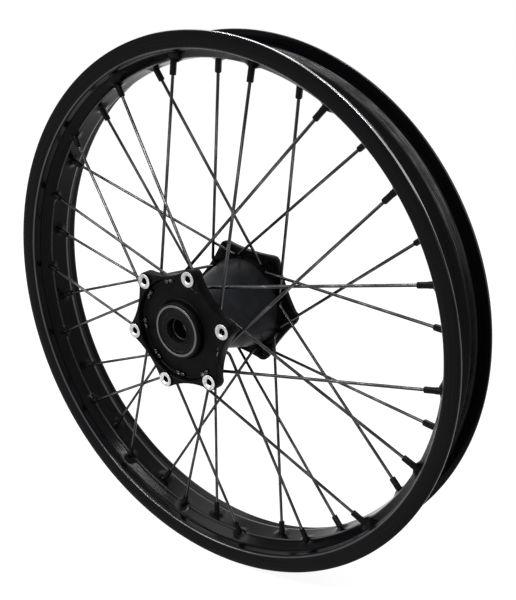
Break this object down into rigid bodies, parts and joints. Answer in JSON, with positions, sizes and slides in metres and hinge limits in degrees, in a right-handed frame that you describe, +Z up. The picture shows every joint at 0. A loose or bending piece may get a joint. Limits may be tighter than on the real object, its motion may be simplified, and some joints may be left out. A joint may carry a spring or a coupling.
{
  "type": "spoked motorcycle wheel",
  "caption": "Wire-spoked motorcycle wheel: drop-centre rim laced by bent spokes and nipples to a hub with a six-lug disc seat on each side, turning on two ball bearings.",
  "frame": {"origin": "on the axle axis, in the middle plane of the rim", "axes": "+Y along the axle away from the side with the deeper lug flange, +Z up as the wheel stands"},
  "size_m": [0.562, 0.1185, 0.562],
  "materials": {
    "rim_black": "black anodised, glossy, worn bare along the lip edges",
    "hub_black": "satin black coat over cast aluminium, machined bare on the lug faces and the ring round each seal",
    "spoke_steel": "drawn steel, dark plated, with a soft shine",
    "nipple_black": "black plated steel",
    "bearing_steel": "ground bearing steel",
    "seal_rubber": "dull moulded rubber over a stiff rim",
    "spacer_alloy": "turned aluminium tube"
  },
  "bodies": {
    "axle_set": {"bearing_spacer": "spacer_alloy", "bearing_near_inner_race": "bearing_steel", "bearing_far_inner_race": "bearing_steel"},
    "wheel": {"rim": "rim_black", "hub_shell": "hub_black", "spoke_01": "spoke_steel", "spoke_02": "spoke_steel", "spoke_03": "spoke_steel", "spoke_04": "spoke_steel", "spoke_05": "spoke_steel", "spoke_06": "spoke_steel", "spoke_07": "spoke_steel", "spoke_08": "spoke_steel", "spoke_09": "spoke_steel", "spoke_10": "spoke_steel", "spoke_11": "spoke_steel", "spoke_12": "spoke_steel", "spoke_13": "spoke_steel", "spoke_14": "spoke_steel", "spoke_15": "spoke_steel", "spoke_16": "spoke_steel", "spoke_17": "spoke_steel", "spoke_18": "spoke_steel", "spoke_19": "spoke_steel", "spoke_20": "spoke_steel", "spoke_21": "spoke_steel", "spoke_22": "spoke_steel", "spoke_23": "spoke_steel", "spoke_24": "spoke_steel", "spoke_25": "spoke_steel", "spoke_26": "spoke_steel", "spoke_27": "spoke_steel", "spoke_28": "spoke_steel", "spoke_29": "spoke_steel", "spoke_30": "spoke_steel", "spoke_31": "spoke_steel", "spoke_32": "spoke_steel", "spoke_33": "spoke_steel", "spoke_34": "spoke_steel", "spoke_35": "spoke_steel", "spoke_36": "spoke_steel", "seal_near": "seal_rubber", "seal_far": "seal_rubber", "bearing_near_outer_race": "bearing_steel", "bearing_far_outer_race": "bearing_steel"},
    "balls_near": {"bearing_near_ball_set": "bearing_steel"},
    "balls_far": {"bearing_far_ball_set": "bearing_steel"}
  },
  "joints": [
    {"name": "wheel_spin", "type": "hinge", "parent": "axle_set", "child": "wheel", "pos_m": [0, 0, 0], "axis": [0, 1, 0], "continuous": true},
    {"name": "balls_near_orbit", "type": "hinge", "parent": "axle_set", "child": "balls_near", "pos_m": [0, -0.0535, 0], "axis": [0, 1, 0], "continuous": true},
    {"name": "balls_far_orbit", "type": "hinge", "parent": "axle_set", "child": "balls_far", "pos_m": [0, 0.035, 0], "axis": [0, 1, 0], "continuous": true}
  ],
  "couplings": [
    {"joint": "balls_near_orbit", "follows": "wheel_spin", "ratio": 0.6185},
    {"joint": "balls_far_orbit", "follows": "wheel_spin", "ratio": 0.6185}
  ]
}
